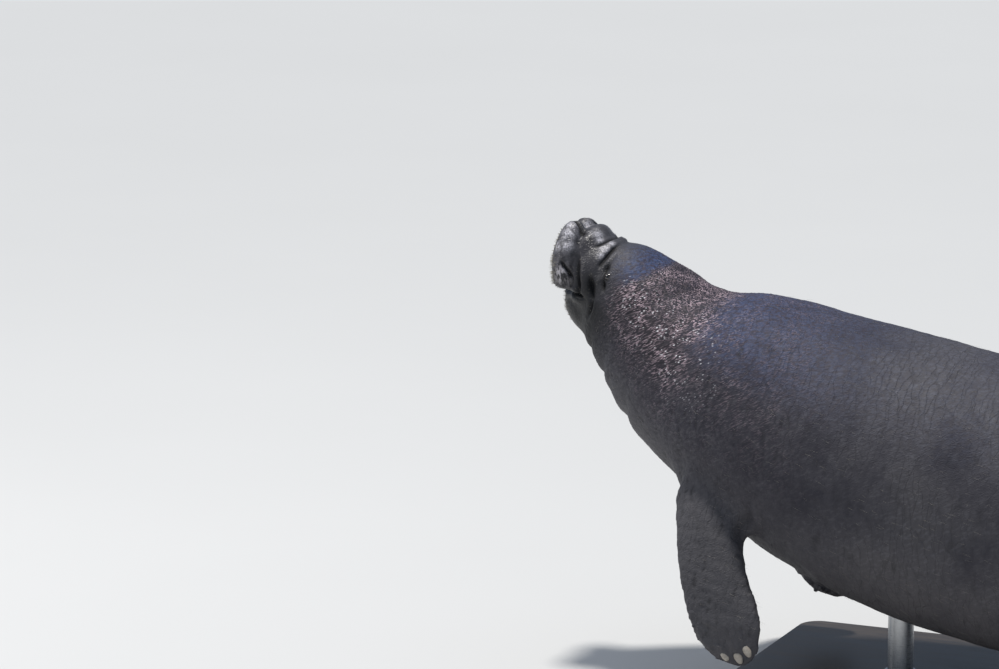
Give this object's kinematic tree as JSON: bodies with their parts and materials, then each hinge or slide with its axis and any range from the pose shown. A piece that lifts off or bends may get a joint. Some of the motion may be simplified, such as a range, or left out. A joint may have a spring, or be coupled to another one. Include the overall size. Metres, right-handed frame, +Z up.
{
  "type": "manatee display model",
  "caption": "Life-size still model of an adult West Indian manatee, head lifted to browse, flippers down and paddle tail level, held over a flat base by short rods.",
  "frame": {"origin": "middle of the stand base's underside, on the floor", "axes": "+Z up, -X towards the animal's head, -Y the animal's left side"},
  "size_m": [2.8833, 0.82, 1.0508],
  "materials": {
    "skin": "wet, pebbled and finely wrinkled dark grey hide, bluer on the back, with pale strokes on the neck's side",
    "face": "wet, glossy, folded dark grey skin, paler on its crests",
    "bristle": "pale horny bristle and hair",
    "eye": "dark wet eye",
    "nail": "dull horn",
    "stand_base": "board with a dark satin stain",
    "stand_rod": "brushed steel"
  },
  "bodies": {
    "root": {"muzzle": "face", "lower_jaw": "face", "head": "skin", "neck": "skin", "trunk_front": "skin", "trunk_middle": "skin", "trunk_rear": "skin", "tail_stock": "skin", "tail_paddle": "skin", "flipper_left_arm": "skin", "flipper_left_hand": "skin", "flipper_right_arm": "skin", "flipper_right_hand": "skin", "eye_left": "eye", "eye_right": "eye", "nail_left_1": "nail", "nail_left_2": "nail", "nail_left_3": "nail", "nail_right_1": "nail", "nail_right_2": "nail", "nail_right_3": "nail", "stand_base": "stand_base", "stand_rod_front": "stand_rod", "stand_rod_rear": "stand_rod"}
  },
  "joints": []
}
